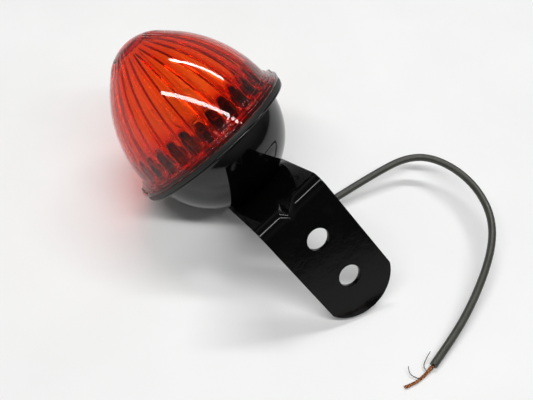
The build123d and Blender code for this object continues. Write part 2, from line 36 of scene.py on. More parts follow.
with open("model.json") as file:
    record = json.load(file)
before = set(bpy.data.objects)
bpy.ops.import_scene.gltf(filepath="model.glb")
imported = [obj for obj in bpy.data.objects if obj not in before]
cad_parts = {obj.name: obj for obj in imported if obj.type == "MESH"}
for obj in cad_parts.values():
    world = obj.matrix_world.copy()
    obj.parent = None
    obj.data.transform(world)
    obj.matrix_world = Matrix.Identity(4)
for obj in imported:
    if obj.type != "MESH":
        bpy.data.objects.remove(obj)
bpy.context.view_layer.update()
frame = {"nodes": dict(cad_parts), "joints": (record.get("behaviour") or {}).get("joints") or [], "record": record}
mm = 0.001
turn = 2 * math.pi

# the lamp's own frame, from the lens's joint and the nearer bolt hole
lensJoint = next(joint for joint in frame["joints"] if joint["name"] == "lens_twist")
nearHole = next(mount for mount in frame["record"]["mounts"] if mount["name"] == "near_bolt_hole")
lampCenter = Vector(lensJoint["pos_m"])
lampZ = Vector(lensJoint["axis"]).normalized()
holeWay = Vector(nearHole["pos_m"]) - lampCenter
lampX = (holeWay - lampZ * holeWay.dot(lampZ)).normalized()
lampY = lampZ.cross(lampX)
lampTurn = np.array([lampX, lampY, lampZ]).T * mm
print("lamp frame ready")


camera = {"azimuth": 27.64, "elevation": 54.09, "roll": 4.73, "lens": 55.6,
          "place": (0.11352, -0.20425, 0.32669)}  # degrees, mm of lens on a 36 mm sensor, metres


def makeCamera(values):
    azimuth = math.radians(values["azimuth"])
    elevation = math.radians(values["elevation"])
    flat = math.cos(elevation)
    back = Vector((math.sin(azimuth) * flat, -math.cos(azimuth) * flat, math.sin(elevation)))
    level = Vector((math.cos(azimuth), math.sin(azimuth), 0))
    right = Matrix.Rotation(-math.radians(values["roll"]), 3, -back) @ level
    up = back.cross(right)
    data = bpy.data.cameras.new("camera")
    data.sensor_width = 36
    data.lens = values["lens"]
    data.clip_start = 0.01
    seen = bpy.data.objects.new("camera", data)
    bpy.context.scene.collection.objects.link(seen)
    turned = Matrix((right, up, back)).transposed().to_4x4()
    seen.matrix_world = Matrix.Translation(values["place"]) @ turned
    bpy.context.scene.camera = seen


makeCamera(camera)
print("camera ready")


def linear(hexColour):
    # sRGB hex to linear, per channel
    values = [int(hexColour[i:i + 2], 16) / 255 for i in (1, 3, 5)]
    return [v / 12.92 if v <= 0.04045 else ((v + 0.055) / 1.055) ** 2.4 for v in values] + [1.0]


def addNode(tree, kind, settings=None, **links):
    # one node, its attributes and socket values, and the sockets that feed it
    node = tree.nodes.new(kind)
    for name, value in (settings or {}).items():
        if isinstance(name, int) or name in node.inputs:
            node.inputs[name].default_value = value
        else:
            setattr(node, name, value)
    for name, socket in links.items():
        numbered = name[0] == "i" and name[1:].isdigit()
        tree.links.new(socket, node.inputs[int(name[1:]) if numbered else name.replace("_", " ")])
    return node


def newMaterial(name):
    material = bpy.data.materials.new(name)
    material.use_nodes = True
    tree = material.node_tree
    tree.nodes.clear()
    output = addNode(tree, "ShaderNodeOutputMaterial")
    place = addNode(tree, "ShaderNodeTexCoord").outputs["Object"]
    return material, tree, output, place


def ramp(tree, factor, stops):
    # colour ramp with (position, hex or grey level) stops
    node = addNode(tree, "ShaderNodeValToRGB", {}, Fac=factor)
    bar = node.color_ramp
    while len(bar.elements) < len(stops):
        bar.elements.new(0.5)
    for element, (position, value) in zip(bar.elements, stops):
        element.position = position
        element.color = linear(value) if isinstance(value, str) else (value, value, value, 1)
    return node.outputs["Color"]


def noise(tree, place, size, detail=3.0, rough=0.55, distortion=0.0):
    # noise whose blobs are about size millimetres across, on metre coordinates
    return addNode(tree, "ShaderNodeTexNoise",
                   {"Scale": 1 / (size * mm * 2), "Detail": detail, "Roughness": rough,
                    "Distortion": distortion}, Vector=place).outputs["Fac"]


def dress(piece, material):
    piece.data.materials.clear()
    piece.data.materials.append(material)


def meshPiece(name, points, faces, material):
    # points in lamp millimetres become a mesh in metres in the row frame, at the origin
    placed = np.asarray(points, float) @ lampTurn.T + np.array(lampCenter)
    return rawPiece(name, placed, faces, material)


def rawPiece(name, placed, faces, material, smooth=True):
    mesh = bpy.data.meshes.new(name)
    mesh.from_pydata(placed, [], faces)
    mesh.polygons.foreach_set("use_smooth", np.full(len(mesh.polygons), smooth))
    mesh.update()
    piece = bpy.data.objects.new(name, mesh)
    bpy.context.scene.collection.objects.link(piece)
    dress(piece, material)
    return piece


def gridFaces(rows, columns, closeRows=False, closeColumns=True):
    # quads of a rows x columns grid; either way may wrap round
    i = np.arange(rows if closeRows else rows - 1)
    j = np.arange(columns if closeColumns else columns - 1)
    i, j = np.meshgrid(i, j, indexing="ij")
    nextI = (i + 1) % rows
    nextJ = (j + 1) % columns
    quads = [i * columns + j, i * columns + nextJ, nextI * columns + nextJ, nextI * columns + j]
    return np.stack(quads, -1).reshape(-1, 4)


def arcRounded(corners, radii, steps=4):
    # a section line whose corners are rounded: each becomes a quadratic curve in so many steps
    corners = np.asarray(corners, float)
    line = [corners[0]]
    for before, here, after, radius in zip(corners, corners[1:], corners[2:], radii[1:-1]):
        if radius <= 0:
            line.append(here)
            continue
        inWay = (before - here) / np.linalg.norm(before - here)
        outWay = (after - here) / np.linalg.norm(after - here)
        t = np.linspace(0, 1, steps + 1)[:, None]
        start = here + inWay * radius
        end = here + outWay * radius
        line.extend((1 - t) ** 2 * start + 2 * t * (1 - t) * here + t ** 2 * end)
    line.append(corners[-1])
    return np.array(line)


def turned(line, angles, radiusChange=None):
    # surface of revolution: (r, z) line carried round the angles; r may change with row and angle
    radius = line[:, 0][:, None] + np.zeros(len(angles))
    height = line[:, 1][:, None] + np.zeros(len(angles))
    if radiusChange is not None:
        radius = radius + radiusChange
    return np.stack([radius * np.cos(angles), radius * np.sin(angles), height], -1)


def turnedPiece(name, line, count, material, radiusChange=None):
    # a closed section line turned round the lamp's axis gives a ring
    angles = np.arange(count) / count * turn
    points = turned(line, angles, radiusChange).reshape(-1, 3)
    return meshPiece(name, points, gridFaces(len(line), count, closeRows=True).tolist(), material)


def smoothStep(low, high, value):
    # 0 at low, 1 at high, 3t^2 - 2t^3 between; low may be the larger of the two, for a fall
    t = np.clip((value - low) / (high - low), 0, 1)
    return t * t * (3 - 2 * t)


def clearLensAcrylic():
    # injection-moulded acrylic dyed through: polished skin, faint flow waviness, and a colour that
    # deepens from orange to blood red where the ribs make the wall thick
    material, tree, output, place = newMaterial("clearLensAcrylic")
    wave = noise(tree, place, 6.0, 2.0)
    speck = noise(tree, place, 0.5, 2.0)
    height = addNode(tree, "ShaderNodeMath", {"operation": "MULTIPLY_ADD", 1: 0.02},
                     i0=speck, i2=wave)
    bump = addNode(tree, "ShaderNodeBump", {"Strength": 0.05, "Distance": 0.0004},
                   Height=height.outputs[0])
    rough = ramp(tree, speck, [(0.3, 0.012), (0.75, 0.05)])
    shader = addNode(tree, "ShaderNodeBsdfPrincipled",
                     {"Base Color": (1, 1, 1, 1), "IOR": 1.49, "Transmission Weight": 1.0,
                      "Specular IOR Level": 0.55}, Roughness=rough, Normal=bump.outputs[0])
    light = addNode(tree, "ShaderNodeLightPath")
    clear = addNode(tree, "ShaderNodeBsdfTransparent", {"Color": (0.6, 0.6, 0.6, 1)})
    mix = addNode(tree, "ShaderNodeMixShader", {}, i0=light.outputs["Is Shadow Ray"],
                  i1=shader.outputs[0], i2=clear.outputs[0])
    dye = addNode(tree, "ShaderNodeVolumeAbsorption",
                  {"Color": (0.975, 0.50, 0.01, 1), "Density": 1050.0})
    tree.links.new(mix.outputs[0], output.inputs["Surface"])
    tree.links.new(dye.outputs[0], output.inputs["Volume"])
    return material


def blownGlass():
    # blown lead-free bulb glass: water clear, slight waviness
    material, tree, output, place = newMaterial("blownGlass")
    bump = addNode(tree, "ShaderNodeBump", {"Strength": 0.1, "Distance": 0.0002},
                   Height=noise(tree, place, 3.0, 1.0))
    shader = addNode(tree, "ShaderNodeBsdfPrincipled",
                     {"Base Color": (1, 1, 1, 1), "IOR": 1.5, "Transmission Weight": 1.0,
                      "Roughness": 0.0}, Normal=bump.outputs[0])
    light = addNode(tree, "ShaderNodeLightPath")
    clear = addNode(tree, "ShaderNodeBsdfTransparent", {"Color": (1, 1, 1, 1)})
    mix = addNode(tree, "ShaderNodeMixShader", {}, i0=light.outputs["Is Shadow Ray"],
                  i1=shader.outputs[0], i2=clear.outputs[0])
    tree.links.new(mix.outputs[0], output.inputs["Surface"])
    return material


def stoveEnamel():
    # gloss black stoved enamel on pressed steel: mirror-like, faint orange peel about 1 mm across
    material, tree, output, place = newMaterial("stoveEnamel")
    peel = noise(tree, place, 1.2, 2.0)
    film = noise(tree, place, 9.0, 4.0)
    bump = addNode(tree, "ShaderNodeBump", {"Strength": 0.05, "Distance": 0.0003}, Height=peel)
    shader = addNode(tree, "ShaderNodeBsdfPrincipled", {"IOR": 1.55},
                     Base_Color=ramp(tree, film, [(0.35, "#050505"), (0.8, "#0B0B0A")]),
                     Roughness=ramp(tree, film, [(0.3, 0.035), (0.85, 0.11)]),
                     Normal=bump.outputs[0])
    tree.links.new(shader.outputs[0], output.inputs["Surface"])
    return material


def strapPaint():
    # brushed-on black paint over rolled strap: semi-gloss, soft brush ripple, pinholes and
    # light rubs
    material, tree, output, place = newMaterial("strapPaint")
    ripple = noise(tree, place, 4.0, 4.0, 0.6)
    pit = noise(tree, place, 0.7, 3.0)
    rub = noise(tree, place, 7.0, 6.0, 0.65, 0.4)
    height = addNode(tree, "ShaderNodeMath", {"operation": "MULTIPLY_ADD", 1: 0.25},
                     i0=pit, i2=ripple)
    bump = addNode(tree, "ShaderNodeBump", {"Strength": 0.12, "Distance": 0.0004},
                   Height=height.outputs[0])
    shader = addNode(tree, "ShaderNodeBsdfPrincipled", {"IOR": 1.47, "Specular IOR Level": 0.2},
                     Base_Color=ramp(tree, rub, [(0.62, "#060706"), (0.82, "#131412")]),
                     Roughness=ramp(tree, ripple, [(0.3, 0.05), (0.8, 0.15)]),
                     Normal=bump.outputs[0])
    tree.links.new(shader.outputs[0], output.inputs["Surface"])
    return material


def gasketRubber():
    # moulded black rubber: matt, a little grey with bloom, fine grain
    material, tree, output, place = newMaterial("gasketRubber")
    grain = noise(tree, place, 0.4, 3.0)
    bloom = noise(tree, place, 6.0, 4.0)
    bump = addNode(tree, "ShaderNodeBump", {"Strength": 0.35, "Distance": 0.0002}, Height=grain)
    shader = addNode(tree, "ShaderNodeBsdfPrincipled", {"IOR": 1.5},
                     Base_Color=ramp(tree, bloom, [(0.3, "#070807"), (0.8, "#111210")]),
                     Roughness=ramp(tree, grain, [(0.3, 0.42), (0.8, 0.62)]),
                     Normal=bump.outputs[0])
    tree.links.new(shader.outputs[0], output.inputs["Surface"])
    return material


def leadPvc():
    # extruded olive-grey PVC: satin, faint draw lines and handling marks
    material, tree, output, place = newMaterial("leadPvc")
    mark = noise(tree, place, 3.0, 4.0)
    grain = noise(tree, place, 0.35, 3.0)
    bump = addNode(tree, "ShaderNodeBump", {"Strength": 0.2, "Distance": 0.0002}, Height=grain)
    shader = addNode(tree, "ShaderNodeBsdfPrincipled", {"IOR": 1.53},
                     Base_Color=ramp(tree, mark, [(0.3, "#2C2C26"), (0.75, "#3E3E35")]),
                     Roughness=ramp(tree, mark, [(0.3, 0.34), (0.8, 0.5)]),
                     Normal=bump.outputs[0])
    tree.links.new(shader.outputs[0], output.inputs["Surface"])
    return material


def metalFinish(name, low, high, roughLow, roughHigh, grainSize, metallic=1.0):
    # a plated or drawn metal: two tones of the same colour, roughness and bump from fine grain
    material, tree, output, place = newMaterial(name)
    grain = noise(tree, place, grainSize, 3.0)
    tone = noise(tree, place, grainSize * 8, 4.0)
    bump = addNode(tree, "ShaderNodeBump", {"Strength": 0.15, "Distance": 0.0002}, Height=grain)
    shader = addNode(tree, "ShaderNodeBsdfPrincipled", {"Metallic": metallic},
                     Base_Color=ramp(tree, tone, [(0.3, low), (0.75, high)]),
                     Roughness=ramp(tree, grain, [(0.3, roughLow), (0.8, roughHigh)]),
                     Normal=bump.outputs[0])
    tree.links.new(shader.outputs[0], output.inputs["Surface"])
    return material


def paleTable():
    # white laminate table: faint soft mottling and a little sheen
    material, tree, output, place = newMaterial("paleTable")
    mottle = noise(tree, place, 40.0, 5.0)
    shader = addNode(tree, "ShaderNodeBsdfPrincipled", {},
                     Base_Color=ramp(tree, mottle, [(0.3, "#ECEDEC"), (0.7, "#F2F3F2")]),
                     Roughness=ramp(tree, mottle, [(0.3, 0.5), (0.7, 0.6)]))
    tree.links.new(shader.outputs[0], output.inputs["Surface"])
    return material


lensAcrylic = clearLensAcrylic()
bulbGlass = blownGlass()
bowlEnamel = stoveEnamel()
bracketPaint = strapPaint()
blackRubber = gasketRubber()
pvcGrey = leadPvc()
zincPlate = metalFinish("brightZincPlate", "#9EA0A2", "#C2C4C6", 0.22, 0.4, 0.3)
drawnBrass = metalFinish("drawnBrass", "#A98749", "#CDAF6C", 0.2, 0.38, 0.3)
springSteel = metalFinish("springSteelWire", "#7C7D80", "#A3A5A8", 0.2, 0.35, 0.2)
tinSolder = metalFinish("tinSolder", "#85878A", "#A9ABAE", 0.35, 0.55, 0.5)
bareCopper = metalFinish("tarnishedCopperStrand", "#7A4A30", "#D08A58", 0.3, 0.45, 0.25)
darkStrand = metalFinish("oxidisedStrand", "#2E2A28", "#4B423C", 0.45, 0.6, 0.25)
fibreBoard = metalFinish("pressedFibreBoard", "#3A2415", "#54361F", 0.6, 0.8, 0.3, metallic=0.0)
print("materials ready")


lead = {"diameter": 3.6, "strands": 19, "strandRadius": 0.15, "twist": 7.0, "bundleRadius": 0.62,
        "bundleLength": 17, "innerStrands": 7, "innerRing": 0.45, "outerRing": 0.85,
        "tipSplay": 0.3, "baseSwell": 0.45, "bundleRows": 60,
        "hairRadius": 0.19, "hairTip": 0.8, "hairRows": 40, "strandSides": 6}

# the lead's route in metres, first along the bush's axis
bushEnd = lampCenter - lampZ * 46.3 * mm
leadRoute = [
    tuple(bushEnd),
    tuple(bushEnd - lampZ * 4.6 * mm),
    (0.0210, 0.0030, 0.0026),
    (0.0273, 0.0095, 0.0029),
    (0.0340, 0.0245, 0.0052),
    (0.0442, 0.0454, 0.0090),
    (0.0513, 0.0572, 0.0114),
    (0.0608, 0.0637, 0.0129),
    (0.0745, 0.0639, 0.0139),
    (0.0880, 0.0589, 0.0143),
    (0.0992, 0.0499, 0.0140),
    (0.1063, 0.0386, 0.0130),
    (0.1103, 0.0242, 0.0110),
    (0.1123, 0.0065, 0.0074),
    (0.1124, -0.0125, 0.0040),
    (0.1102, -0.0310, 0.0019),
]
bundleRoute = [
    (0.1102, -0.0310, 0.0019),
    (0.1095, -0.0344, 0.0014),
    (0.1084, -0.0386, 0.0009),
    (0.1066, -0.0428, 0.00075),
    (0.1039, -0.0466, 0.0007),
]
hairRoutes = [
    [(0.1092, -0.0348, 0.0013), (0.1070, -0.0342, 0.0013), (0.1061, -0.0312, 0.0018),
     (0.1063, -0.0262, 0.0028)],
    [(0.1081, -0.0392, 0.0009), (0.1050, -0.0402, 0.0010), (0.1024, -0.0394, 0.0016),
     (0.1012, -0.0374, 0.0023)],
]


def routeCurve(name, route, radius=0.0):
    # one open NURBS spline of order 3 with the route's points as its control points
    data = bpy.data.curves.new(name, "CURVE")
    data.dimensions = "3D"
    data.resolution_u = 16
    data.bevel_depth = radius
    data.bevel_resolution = 6
    data.use_fill_caps = True
    spline = data.splines.new("NURBS")
    spline.points.add(len(route) - 1)
    spline.points.foreach_set("co", [value for point in route for value in (*point, 1.0)])
    spline.order_u = 3
    spline.use_endpoint_u = True
    piece = bpy.data.objects.new(name, data)
    bpy.context.scene.collection.objects.link(piece)
    return piece


def pathPoints(route, count):
    # evenly spaced points along a route's own NURBS line
    bare = routeCurve("path", route)
    mesh = bpy.data.meshes.new_from_object(bare)
    line = np.zeros(len(mesh.vertices) * 3)
    mesh.vertices.foreach_get("co", line)
    line = line.reshape(-1, 3)
    bpy.data.objects.remove(bare)
    bpy.data.meshes.remove(mesh)
    far = np.r_[0, np.cumsum(np.linalg.norm(np.diff(line, axis=0), axis=1))]
    even = np.linspace(0, far[-1], count)
    return np.stack([np.interp(even, far, line[:, k]) for k in range(3)], -1)


def pathFrames(line):
    # two unit vectors across the path at each point: a level one, and one square to it
    along = np.gradient(line, axis=0)
    along /= np.linalg.norm(along, axis=1)[:, None]
    side = np.cross(along, [0, 0, 1.0])
    side /= np.linalg.norm(side, axis=1)[:, None]
    return side, np.cross(side, along)


def tubePoints(line, radii, sides):
    # a tube round a path: centre + radius (cos a side + sin a up), one ring for each path point
    side, up = pathFrames(line)
    angles = np.arange(sides) / sides * turn
    ring = np.cos(angles)[:, None] * side[:, None] + np.sin(angles)[:, None] * up[:, None]
    return (line[:, None] + radii[:, None, None] * ring).reshape(-1, 3)


def tubeFaces(rings, sides, start=0):
    # quads along the tube and a cap at each end
    faces = (gridFaces(rings, sides)[:, ::-1] + start).tolist()
    ring = list(range(sides))
    return faces + [[start + k for k in ring],
                    [start + (rings - 1) * sides + k for k in reversed(ring)]]


def makeLead(values):
    piece = routeCurve("leadWire", leadRoute, values["diameter"] * mm / 2)
    dress(piece, pvcGrey)
    return piece


def makeStrands(values):
    # strands on two rings and a core, each wound round the bundle's path and splaying at the tip
    count, sides = values["bundleRows"], values["strandSides"]
    strandRadius = values["strandRadius"] * mm
    line = pathPoints(bundleRoute, count)
    side, up = pathFrames(line)
    t = np.linspace(0, 1, count)
    random = np.random.default_rng(7)
    points, faces = [], []
    for k in range(values["strands"]):
        ringShare = values["innerRing"] if k < values["innerStrands"] else values["outerRing"]
        ringRadius = values["bundleRadius"] * (0 if k == 0 else ringShare)
        start = random.uniform(0, turn) + k * turn / 6.5
        loose = 1 + values["tipSplay"] * smoothStep(0.7, 1.0, t) * random.uniform(0.2, 1.2)
        swell = values["baseSwell"] * np.exp(-((t - 0.12) / 0.09) ** 2)  # where it leaves the PVC
        loose = loose + swell * random.uniform(0.5, 1.0)
        angle = start + t * turn * values["bundleLength"] / values["twist"]
        across = (ringRadius * mm * loose)[:, None]
        path = line + side * (across * np.cos(angle)[:, None]) + up * (across * np.sin(angle)[:, None])
        cut = int(count * random.uniform(0.93, 1.0))
        path = path[:cut]
        path[:, 2] = np.maximum(path[:, 2], strandRadius)
        faces += tubeFaces(cut, sides, sum(len(part) for part in points))
        points.append(tubePoints(path, np.full(cut, strandRadius), sides))
    return rawPiece("twistedStrands", np.vstack(points), faces, bareCopper)


def makeHairs(values):
    # two loose strands, a little thinner at the tip
    count, sides = values["hairRows"], values["strandSides"]
    radii = values["hairRadius"] * mm * np.linspace(1.0, values["hairTip"], count)
    points, faces = [], []
    for route in hairRoutes:
        faces += tubeFaces(count, sides, sum(len(part) for part in points))
        points.append(tubePoints(pathPoints(route, count), radii, sides))
    return rawPiece("strayHairs", np.vstack(points), faces, darkStrand)


leadWire = makeLead(lead)
strands = makeStrands(lead)
hairs = makeHairs(lead)
leadLine = pathPoints(leadRoute, 400)
leadLength = float(np.linalg.norm(np.diff(leadLine, axis=0), axis=1).sum())
for piece, node, slotName in (
        (leadWire, "lead", "lead_pvc"),
        (strands, "strand_bundle", "bare_copper"),
        (hairs, "stray_strands", "bare_copper")):
    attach(piece, "lamp_body")
    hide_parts(node)
print("lead ready", round(leadLength, 4))


lens = {
    "flangeRadius": 41.2, "flangeHeight": 5.4, "stepDrop": 1.5, "stepRound": 0.25,
    "wall": 2.2, "domeRadius": 37.4, "domeCurve": 60.6, "domeSwell": 3.0,
    "crownStart": 50.85, "crownTop": 56.1, "ceiling": 51.2, "scallop": 0.16,
    "ribs": 30, "ribDepth": 1.15, "ribWidth": 2.9, "ribFoot": 5.4, "ribTop": 51.0,
    "archHeight": 9.8, "archWidth": 0.74, "archSlope": 0.25,
    "skirtRadius": 31.6, "skirtWall": 1.8, "skirtDepth": 5.4,
    "lugs": 3, "lugArc": 24.0, "lugReach": 1.1, "lugHeight": 1.7,
    "pads": 6, "padArc": 5.5, "padStart": 30.0, "padReach": 0.5,
    "skirtEdge": 0.3, "flangeEdge": 0.6, "stepFillet": 0.35,
    "ribRoundness": 1.4, "ribFootFade": (1.6, 0.6), "ribTopFade": (3.0, 1.5),
    "padFade": (1.2, 0.8), "scallopFade": (3.0, 2.0, 1.0),
    "columnsPerRib": 18, "columnCrowding": 0.11,
    "domeRows": 44, "domeMargin": 0.4, "crownRows": 15, "ceilingRows": 6, "innerRows": 60,
}


def domeRadiusAt(values, curve, height):
    # circle of the given section radius, bulging widest at domeSwell
    centre = values["domeRadius"] - values["domeCurve"]
    return centre + np.sqrt(curve ** 2 - (height - values["domeSwell"]) ** 2)


def makeLens(values):
    step = values["flangeHeight"] / 3
    drop = values["stepDrop"]
    outerFlange = values["flangeRadius"]
    skirt = values["skirtRadius"]
    innerSkirt = skirt - values["skirtWall"]
    soft = values["stepRound"]
    edge = values["skirtEdge"]
    fillet = values["stepFillet"]
    # outer line, from the skirt's foot up over the flange steps to the dome
    domeStart = float(domeRadiusAt(values, values["domeCurve"], values["flangeHeight"]))
    skirtFoot = -values["skirtDepth"]
    lugTop = skirtFoot + values["lugHeight"]
    foot = arcRounded(
        [(innerSkirt, skirtFoot + 0.6), (innerSkirt, skirtFoot),
         (skirt, skirtFoot), (skirt, lugTop), (skirt, lugTop + 0.01), (skirt, 0),
         (outerFlange, 0), (outerFlange, step), (outerFlange - drop, step),
         (outerFlange - drop, 2 * step), (outerFlange - 2 * drop, 2 * step),
         (outerFlange - 2 * drop, 3 * step), (domeStart, 3 * step), (domeStart, 3 * step + 1.2)],
        [0, edge, edge, 0, 0, edge, values["flangeEdge"], soft, fillet, soft, fillet, soft,
         edge, 0])[:-1]
    domeLow = values["flangeHeight"] + values["domeMargin"]
    domeSpan = values["crownStart"] - values["flangeHeight"] - values["domeMargin"]
    heights = domeLow + np.linspace(0, 1, values["domeRows"]) * domeSpan
    dome = np.stack([domeRadiusAt(values, values["domeCurve"], heights), heights], -1)
    # crown: a spherical cap through the dome's last ring, radius = (r^2 + rise^2) / (2 rise)
    shoulder = dome[-1, 0]
    top = values["crownTop"]
    rise = top - values["crownStart"]
    crownCurve = (shoulder ** 2 + rise ** 2) / (2 * rise)
    crownR = shoulder * np.linspace(1, 0, values["crownRows"] + 2)[1:-1]
    crown = np.stack([crownR, top - crownCurve + np.sqrt(crownCurve ** 2 - crownR ** 2)], -1)
    outer = np.vstack([foot, dome, crown])
    # inner line, back down from the crown to the skirt; its rows crowd towards both ends
    innerTop = values["ceiling"]
    innerCurve = values["domeCurve"] - values["wall"]
    innerEdge = float(domeRadiusAt(values, innerCurve, innerTop))
    ceilingR = innerEdge * np.linspace(0.06, 0.9, values["ceilingRows"])
    ceiling = np.stack([ceilingR, np.full(values["ceilingRows"], innerTop)], -1)
    down = np.linspace(0, 1, values["innerRows"])
    innerHeights = innerTop + (step - innerTop) * (down * 0.55 + 0.45 * down ** 2 * (3 - 2 * down))
    wall = np.stack([domeRadiusAt(values, innerCurve, innerHeights), innerHeights], -1)
    seat = np.array([[innerSkirt + 0.5, step], [innerSkirt, step - 0.5]])
    line = np.vstack([outer, ceiling, wall, seat])
    # columns crowd together at each rib: angle = pitch (u - crowding sin(2 pi u)), rib at u = 0
    perRib = values["columnsPerRib"]
    u = np.arange(perRib) / perRib
    warped = u - values["columnCrowding"] * np.sin(turn * u)
    pitch = turn / values["ribs"]
    angles = (np.arange(values["ribs"])[:, None] + warped).ravel() * pitch
    # ribs: a rounded ridge, cos^ribRoundness across its width, fading at its foot and its top
    change = np.zeros((len(line), len(angles)))
    offRib = (angles / pitch + 0.5) % 1 - 0.5
    rowStart = len(outer) + len(ceiling)
    wallRows = np.arange(rowStart, rowStart + values["innerRows"])
    radii = line[wallRows, 0][:, None]
    across = np.abs(offRib) * pitch * radii / (values["ribWidth"] / 2)
    ridge = np.cos(np.clip(across, 0, 1) * math.pi / 2) ** values["ribRoundness"]
    z = line[wallRows, 1][:, None]
    below, above = values["ribFootFade"]
    fade = smoothStep(values["ribFoot"] - below, values["ribFoot"] + above, z)
    below, above = values["ribTopFade"]
    fade = fade * (1 - smoothStep(values["ribTop"] - below, values["ribTop"] + above, z))
    # between the ribs each flute's foot is a ramp under an arch sqrt(1 - off^4) high: the wall
    # thickens down it
    off = np.clip((1 - 2 * np.abs(offRib)) / values["archWidth"], 0, 1)
    archTop = values["ribFoot"] + values["archHeight"] * np.sqrt(1 - off ** 4)
    slope = values["archSlope"] * np.clip(archTop - z, 0, None) * (off < 1) * (z > step + 0.01)
    change[wallRows] = -np.maximum(values["ribDepth"] * ridge * fade, slope)
    # lugs at the skirt's foot and finger pads on the outer step
    degrees = np.degrees(angles)
    lugPitch = 360 / values["lugs"]
    lugHere = np.abs((degrees + lugPitch / 2) % lugPitch - lugPitch / 2) < values["lugArc"] / 2
    rowZ, rowR = line[:, 1], line[:, 0]
    outside = np.arange(len(line)) < len(foot)
    lugRows = outside & (rowR > innerSkirt + 0.9) & (rowZ <= lugTop + 0.001)
    change[np.ix_(lugRows, lugHere)] = values["lugReach"]
    padPitch = 360 / values["pads"]
    padOff = np.abs((degrees - values["padStart"] + padPitch / 2) % padPitch - padPitch / 2)
    wide, narrow = values["padFade"]
    pad = smoothStep(values["padArc"] / 2 + wide, values["padArc"] / 2 - narrow, padOff)
    padRows = outside & (rowZ > step - 0.3) & (rowZ < 2 * step + 0.01)
    padRows = padRows & (rowR > outerFlange - drop - 0.2)
    change[padRows] = (outerFlange - rowR[padRows])[:, None] * pad * values["padReach"]
    # shallow scallops round the crown's shoulder, one over each rib
    below, above, short = values["scallopFade"]
    scallop = smoothStep(values["crownStart"] - below, values["crownStart"], rowZ)
    scallop = scallop * (1 - smoothStep(values["crownStart"] + above, values["crownTop"] - short, rowZ))
    scallop = scallop * (np.arange(len(line)) < len(outer))
    change += scallop[:, None] * values["scallop"] * np.cos(offRib * turn)
    points = turned(line, angles, change).reshape(-1, 3)
    count = len(angles)
    rows = len(line)
    # the grid's last row closes on its first; at the crown it opens, to a pole outside and a
    # pole on the ceiling inside
    faces = gridFaces(rows, count, closeRows=True)
    joinRow = len(outer) - 1
    isJoin = (faces[:, 0] // count) == joinRow
    faces = faces[~isJoin].tolist()
    topPole, roofPole = len(points), len(points) + 1
    points = np.vstack([points, [[0, 0, top], [0, 0, innerTop]]])
    a = np.arange(count)
    b = (a + 1) % count
    crest = joinRow * count
    faces += np.stack([a + crest, b + crest, np.full(count, topPole)], -1).tolist()
    roof = crest + count
    faces += np.stack([b + roof, a + roof, np.full(count, roofPole)], -1).tolist()
    return meshPiece("lensMoulding", points, faces, lensAcrylic)


lensPiece = makeLens(lens)
print("lens ready", len(lensPiece.data.polygons))


bowl = {"radius": 34.6, "wall": 0.9, "depth": 34.0, "rimRadius": 40.4, "rimThickness": 1.0,
        "rimEdge": 0.45, "mouthLap": 0.4, "shoulder": 0.8, "shoulderRound": 0.7, "rows": 40,
        "gasketHeight": 2.6, "gasketRadius": 40.7, "gasketInner": 33.0, "gasketMiddle": 36,
        "gasketEdge": 39, "studHole": 4.1, "holeRound": 0.2, "columns": 256, "gap": 0.05}


def makeGasket(values):
    low, high = -values["gasketHeight"], -values["gap"]
    line = arcRounded(
        [(values["gasketMiddle"], low), (values["gasketRadius"], low),
         (values["gasketRadius"], high), (values["gasketInner"], high),
         (values["gasketInner"], low), (values["gasketMiddle"], low)],
        [0, 0.7, 0.5, 0.3, 0.3, 0], 5)[:-1]
    angles = np.arange(values["columns"]) / values["columns"] * turn
    # the rubber is squeezed a touch unevenly: its edge wanders by up to 0.15 mm
    wander = 0.10 * np.sin(angles * 5 + 1.0) + 0.05 * np.sin(angles * 13)
    edge = (line[:, 0] > values["gasketEdge"])[:, None] * wander
    return turnedPiece("lensGasket", line, values["columns"], blackRubber, radiusChange=edge)


def makeBowl(values):
    # pressed half ball with a flat foot, a small shoulder under a rolled rim, and a stud hole
    radius, wall = values["radius"], values["wall"]
    rimLow = -values["gasketHeight"] - values["rimThickness"]
    startAngle = math.asin(-rimLow / radius)
    endAngle = math.asin(values["depth"] / radius)
    a = np.linspace(startAngle + 0.02, endAngle - 0.03, values["rows"])
    outside = np.stack([radius * np.cos(a), -radius * np.sin(a)], -1)
    inside = outside[::-1] * (radius - wall) / radius
    mouth = radius * math.cos(startAngle)
    rim, rimEdge = values["rimRadius"], values["rimEdge"]
    top = rimLow + values["rimThickness"]
    rimLine = arcRounded(
        [(mouth - values["mouthLap"], top), (rim, top), (rim, rimLow),
         (mouth + values["shoulder"], rimLow), tuple(outside[0])],
        [0, rimEdge, rimEdge, values["shoulderRound"], 0], 5)
    hole, soft, low = values["studHole"], values["holeRound"], -values["depth"]
    foot = np.array([[hole + soft, low], [hole, low + soft],
                     [hole, low + wall - soft / 2], [hole + soft / 2, low + wall]])
    neck = np.array([[mouth - wall, rimLow], [mouth - wall, top - 0.3]])
    line = np.vstack([rimLine[:-1], outside, foot, inside[1:], neck])
    return turnedPiece("bowlShell", line[::-1], values["columns"], bowlEnamel)


gasketPiece = makeGasket(bowl)
bowlPiece = makeBowl(bowl)
print("bowl and gasket ready")


